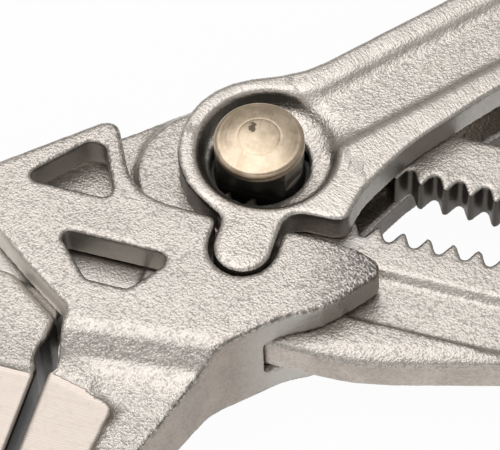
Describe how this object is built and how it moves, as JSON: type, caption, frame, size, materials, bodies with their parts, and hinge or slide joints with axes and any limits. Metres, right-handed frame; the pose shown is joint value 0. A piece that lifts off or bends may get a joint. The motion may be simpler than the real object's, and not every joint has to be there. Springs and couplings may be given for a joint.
{
  "type": "pliers wrench",
  "caption": "Push-button adjustable pliers with smooth parallel jaws, a forked lever arm, a sliding jaw on a toothed slot and dipped handle sleeves.",
  "frame": {"origin": "pivot axis at the rear face of the pivot plug, on the plane that the tool lies on", "axes": "+X along the toothed slot towards the handles, +Y across it towards the lever handle, +Z along the pivot out of the button"},
  "size_m": [0.242, 0.1642, 0.0186],
  "materials": {
    "forged_steel": "nickel-plated bead-blasted forging, satin",
    "dark_steel": "black oxide",
    "button_brass": "turned, champagne tone",
    "spring_steel": "plain drawn wire and strip",
    "sleeve": "dipped soft plastic, matt"
  },
  "bodies": {
    "fixed_arm": {"fixed_jaw_arm": "forged_steel", "main_handle_sleeve": "sleeve"},
    "pivot": {"spring_plug": "dark_steel", "retaining_ring": "spring_steel", "return_spring": "spring_steel"},
    "lever": {"lever_arm": "forged_steel", "lever_handle_sleeve": "sleeve"},
    "moving_jaw": {"sliding_jaw": "forged_steel"},
    "button": {"locking_pin": "dark_steel", "button_cap": "button_brass"}
  },
  "joints": [
    {"name": "adjust_slide", "type": "slide", "parent": "fixed_arm", "child": "pivot", "axis": [1, 0, 0], "range_m": [0, 0.0455]},
    {"name": "handle_pivot", "type": "hinge", "parent": "pivot", "child": "lever", "pos_m": [0, 0, 0], "axis": [0, 0, 1], "range_deg": [-5.5, 12]},
    {"name": "jaw_stroke", "type": "slide", "parent": "pivot", "child": "moving_jaw", "axis": [1, 0, 0], "range_m": [-0.00135, 0.00292]},
    {"name": "button_press", "type": "slide", "parent": "pivot", "child": "button", "axis": [0, 0, -1], "range_m": [0, 0.0031], "stiffness_N_per_m": 1500, "springref_m": -0.002, "deforming": ["return_spring"]}
  ],
  "couplings": [
    {"joint": "jaw_stroke", "follows": "handle_pivot", "m_per_rad": 0.0139}
  ]
}
